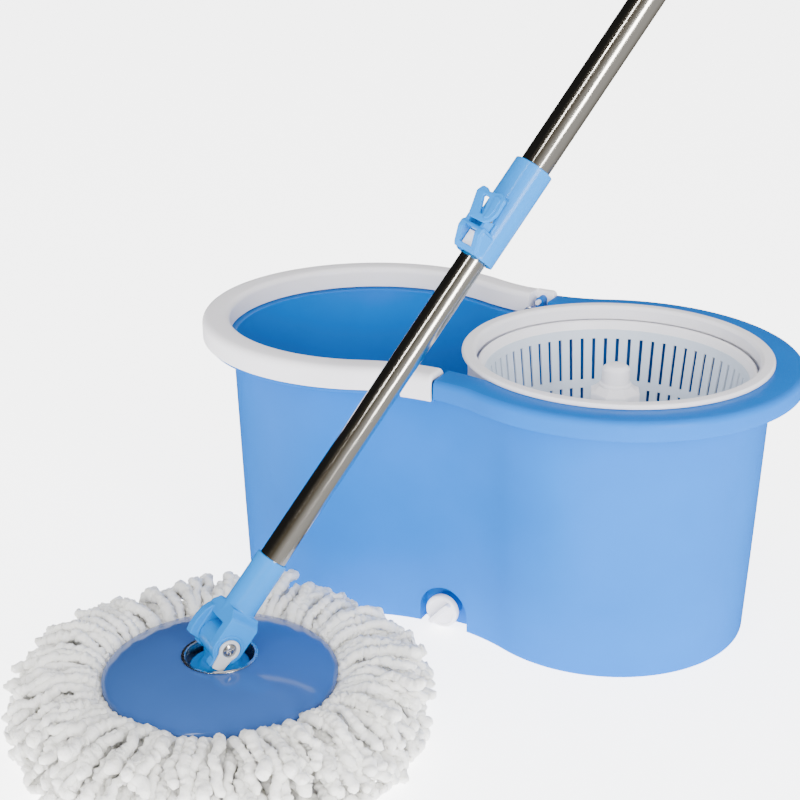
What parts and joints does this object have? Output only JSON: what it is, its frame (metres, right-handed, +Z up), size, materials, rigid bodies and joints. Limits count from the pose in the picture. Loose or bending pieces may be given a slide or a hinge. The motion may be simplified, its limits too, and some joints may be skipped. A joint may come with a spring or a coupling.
{
  "type": "spin mop with bucket",
  "caption": "Two-lobed mop bucket with a spin basket, hinged carry handle and drain plug, beside a telescopic mop with a swivel disc head of thick looped yarn.",
  "frame": {"origin": "middle of the bucket's flat base, where it rests on the floor", "axes": "+Z up; +X from the wash lobe to the spin lobe; -Y is the front, with the drain and the mop head"},
  "size_m": [0.5575, 0.7393, 0.9188],
  "materials": {
    "bucket_blue": "moulded, semi-gloss",
    "joint_blue": "moulded, glossy",
    "plate_blue": "moulded, high gloss",
    "white_plastic": "moulded, satin",
    "grey_plastic": "moulded, satin",
    "dark_plastic": "moulded, satin",
    "tube_steel": "polished tube",
    "steel": "turned or pressed",
    "brass": "turned",
    "seal_rubber": "soft, dull",
    "grip_foam": "soft, matte",
    "yarn": "chunky microfibre chenille"
  },
  "bodies": {
    "bucket_base": {"bucket": "bucket_blue", "axle_pedestal": "white_plastic", "pedestal_screws": "steel", "axle_shaft": "steel", "thrust_washer": "dark_plastic", "shaft_clip": "steel", "splash_collar": "white_plastic", "handle_pin_front": "white_plastic", "handle_pin_back": "white_plastic"},
    "hub": {"spin_hub": "white_plastic", "hub_bush_lower": "brass", "hub_bush_upper": "brass"},
    "basket": {"spin_basket": "white_plastic", "basket_wall": "white_plastic", "drive_post": "white_plastic"},
    "handle": {"carry_handle": "white_plastic"},
    "plug": {"drain_plug": "white_plastic", "drain_gasket": "seal_rubber"},
    "joint_foot": {"swivel_base": "joint_blue", "swivel_washer": "steel", "swivel_screw": "steel"},
    "mop_head": {"mop_plate": "plate_blue", "cup_ring": "steel", "swivel_race": "steel", "refill_ring": "white_plastic", "yarn": "yarn"},
    "lower_pole": {"yoke": "joint_blue", "screw_side_plate": "grey_plastic", "nut_side_plate": "grey_plastic", "hinge_screw": "steel", "hinge_nut": "steel", "lower_tube": "tube_steel", "guide_bush": "white_plastic", "clutch_housing": "white_plastic", "clutch_cap": "dark_plastic"},
    "nut": {"drive_nut": "brass"},
    "upper_pole": {"upper_tube": "tube_steel", "lock_collar": "joint_blue", "lever_pin": "steel", "twisted_rod": "steel", "rod_anchor": "white_plastic", "grip": "grip_foam", "end_cap": "joint_blue"},
    "lever": {"lock_lever": "joint_blue"},
    "block": {"lock_block": "white_plastic"}
  },
  "joints": [
    {"name": "basket_spin", "type": "hinge", "parent": "bucket_base", "child": "hub", "pos_m": [0.102, 0, 0.12], "axis": [0, 0, 1], "continuous": true},
    {"name": "basket_lift", "type": "slide", "parent": "hub", "child": "basket", "axis": [0, 0, 1], "range_m": [0, 0.09]},
    {"name": "handle_swing", "type": "hinge", "parent": "bucket_base", "child": "handle", "pos_m": [-0.003, 0, 0.209], "axis": [0, 1, 0], "range_deg": [0, 90]},
    {"name": "drain_pull", "type": "slide", "parent": "bucket_base", "child": "plug", "axis": [0, -1, 0], "range_m": [0, 0.03]},
    {"name": "mop_lift", "type": "slide", "parent": "bucket_base", "child": "joint_foot", "axis": [0, -0.1736, 0.9848], "range_m": [0, 0.3]},
    {"name": "head_swivel", "type": "hinge", "parent": "joint_foot", "child": "mop_head", "pos_m": [-0.068, -0.2825, 0.046], "axis": [0, 0, 1], "continuous": true},
    {"name": "pole_tilt", "type": "hinge", "parent": "joint_foot", "child": "lower_pole", "pos_m": [-0.068, -0.2825, 0.069], "axis": [-0.8387, 0.5446, 0], "range_deg": [-110, 0]},
    {"name": "pole_telescope", "type": "slide", "parent": "lower_pole", "child": "upper_pole", "axis": [0.3464, 0.5335, 0.7716], "range_m": [-0.23, 0.1]},
    {"name": "nut_turn", "type": "hinge", "parent": "lower_pole", "child": "nut", "pos_m": [0.17554, 0.09252, 0.61145], "axis": [0.3464, 0.5335, 0.7716], "range_deg": [-455, 1040]},
    {"name": "lever_flip", "type": "hinge", "parent": "upper_pole", "child": "lever", "pos_m": [0.0452, -0.12075, 0.33791], "axis": [0.9318, -0.2905, -0.2176], "range_deg": [-3, 93]},
    {"name": "block_slide", "type": "slide", "parent": "upper_pole", "child": "block", "axis": [-0.1081, -0.7944, 0.5977], "range_m": [0, 0.0012]}
  ],
  "couplings": [
    {"joint": "nut_turn", "follows": "pole_telescope", "rad_per_m": -78.54},
    {"joint": "lever_flip", "follows": "block_slide", "rad_per_m": 1309}
  ]
}
